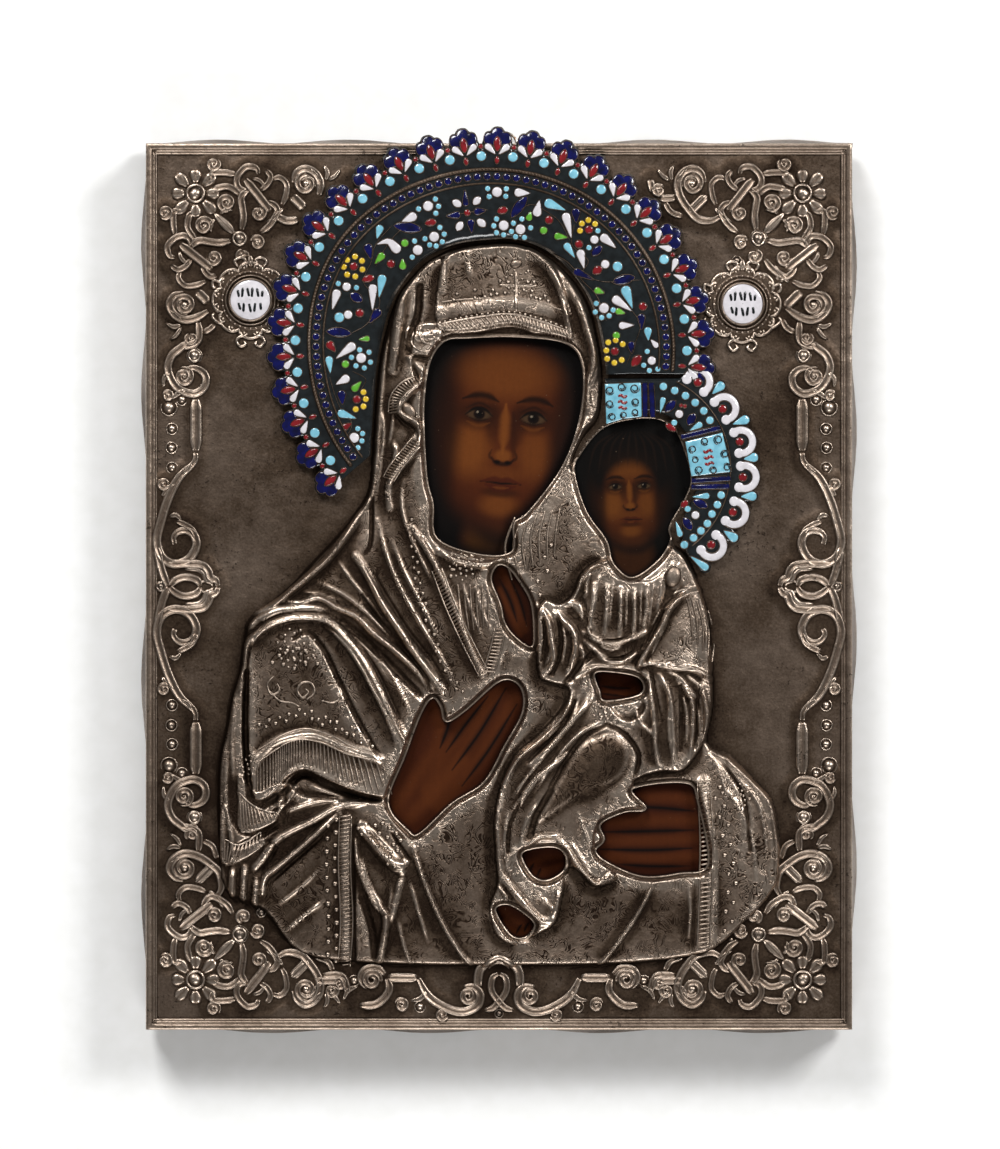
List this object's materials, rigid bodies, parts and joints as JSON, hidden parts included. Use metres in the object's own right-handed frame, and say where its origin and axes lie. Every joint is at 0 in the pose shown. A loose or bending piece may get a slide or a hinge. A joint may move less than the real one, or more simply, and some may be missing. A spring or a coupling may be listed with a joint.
{
  "type": "icon panel",
  "caption": "Painted wooden panel under a relief silver cover with enamelled halos and openings over the painted faces and hands; lies on its back.",
  "frame": {"origin": "middle of the wooden board's flat underside", "axes": "+X to the right of the picture, +Y to its top, +Z out of the picture; the panel lies on its back"},
  "size_m": [0.2534, 0.3196, 0.0356],
  "materials": {
    "silver": "hammered silver, darkened by tarnish, bright on the ridges",
    "wood": "old dark softwood, bare at the back, painted and varnished in front",
    "enamel": "dark glossy enamel with coloured cells between fine silver wires",
    "white_enamel": "glossy white enamel with dark strokes",
    "wire": "drawn wire"
  },
  "bodies": {
    "root": {"wood_board": "wood", "silver_cover": "silver", "large_halo": "enamel", "small_halo": "enamel", "left_disc": "white_enamel", "right_disc": "white_enamel", "hanging_loop": "wire"}
  },
  "joints": []
}
